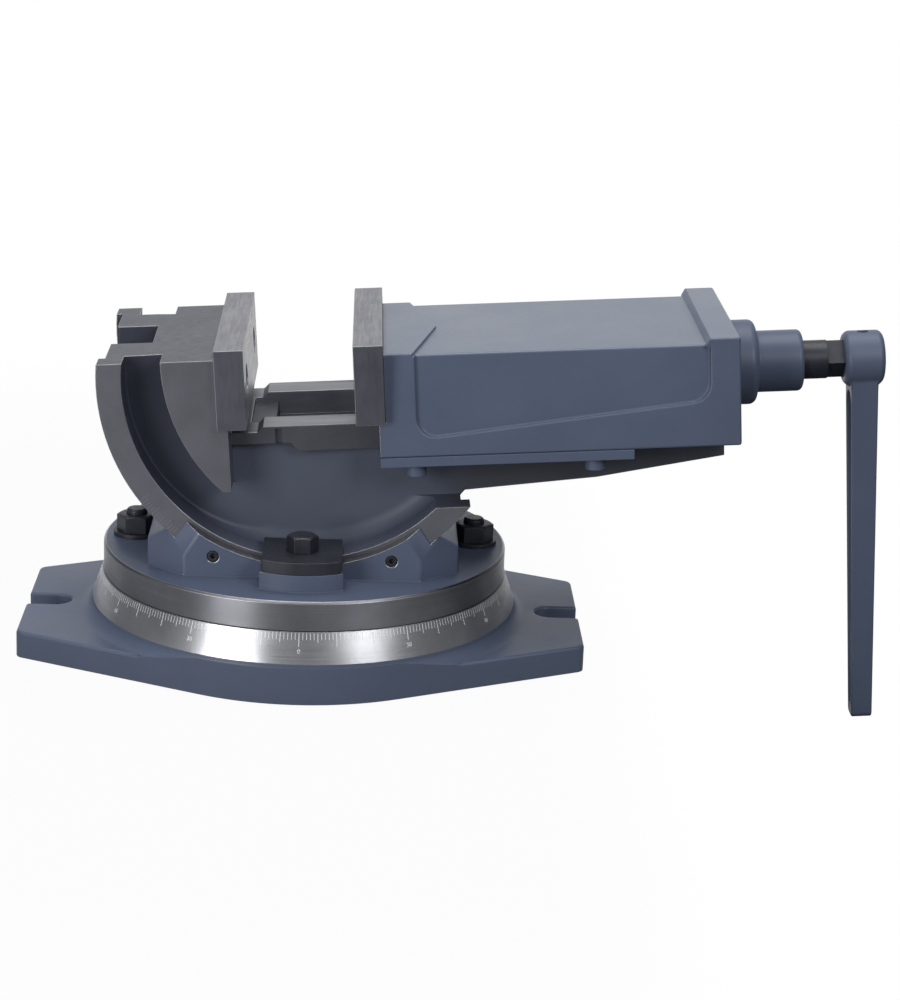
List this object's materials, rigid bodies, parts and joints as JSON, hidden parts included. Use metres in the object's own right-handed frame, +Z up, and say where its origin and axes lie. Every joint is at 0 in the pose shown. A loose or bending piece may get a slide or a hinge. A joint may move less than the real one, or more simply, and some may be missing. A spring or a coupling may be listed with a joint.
{
  "type": "two-axis tilting vise",
  "caption": "Machine vise on a swivelling degree base, with a cradled body that tilts in an arc and a screw-driven sliding jaw worked by a crank.",
  "frame": {"origin": "on the swivel axis, in the plane of the base's underside", "axes": "+Z up along the swivel axis, +X along the base's long way towards the crank at rest, +Y to the back"},
  "size_m": [0.4195, 0.2068, 0.2043],
  "materials": {
    "casting_paint": "satin",
    "ground_steel": "satin",
    "black_oxide": "satin",
    "bronze": "satin"
  },
  "bodies": {
    "base": {"base_casting": "casting_paint", "pivot_pin": "ground_steel"},
    "swivel": {"swivel_table": "casting_paint", "t_bolts": "black_oxide", "swivel_washers": "black_oxide", "swivel_nuts": "black_oxide", "clamp_front": "black_oxide", "clamp_back": "black_oxide", "clamp_bolts": "black_oxide", "cradle_set_screws": "black_oxide"},
    "tilt": {"tilt_body": "casting_paint", "fixed_jaw_plate": "ground_steel", "fixed_jaw_screws": "black_oxide", "lead_nut": "bronze", "lead_nut_screws": "black_oxide"},
    "jaw": {"moving_jaw": "casting_paint", "moving_jaw_plate": "ground_steel", "moving_jaw_screws": "black_oxide", "keeper_front": "casting_paint", "keeper_back": "casting_paint", "keeper_bolts": "black_oxide", "thrust_washer": "bronze"},
    "screw": {"lead_screw": "black_oxide", "thrust_bearing": "ground_steel", "thrust_ring": "black_oxide", "thrust_ring_pin": "ground_steel", "crank_handle": "casting_paint", "crank_set_screw": "black_oxide"}
  },
  "joints": [
    {"name": "swivel", "type": "hinge", "parent": "base", "child": "swivel", "pos_m": [0, 0, 0], "axis": [0, 0, 1], "continuous": true},
    {"name": "tilt", "type": "hinge", "parent": "swivel", "child": "tilt", "pos_m": [0, 0, 0.141], "axis": [0, -1, 0], "range_deg": [-3.9, 86.1]},
    {"name": "jaw_slide", "type": "slide", "parent": "tilt", "child": "jaw", "axis": [0.9977, 0, 0.068], "range_m": [-0.0499, 0.05]},
    {"name": "screw_spin", "type": "hinge", "parent": "jaw", "child": "screw", "pos_m": [0.00085, 0, 0.12853], "axis": [0.9977, 0, 0.068], "range_deg": [-4500, 4500]}
  ],
  "couplings": [
    {"joint": "screw_spin", "follows": "jaw_slide", "rad_per_m": 1570.8}
  ]
}
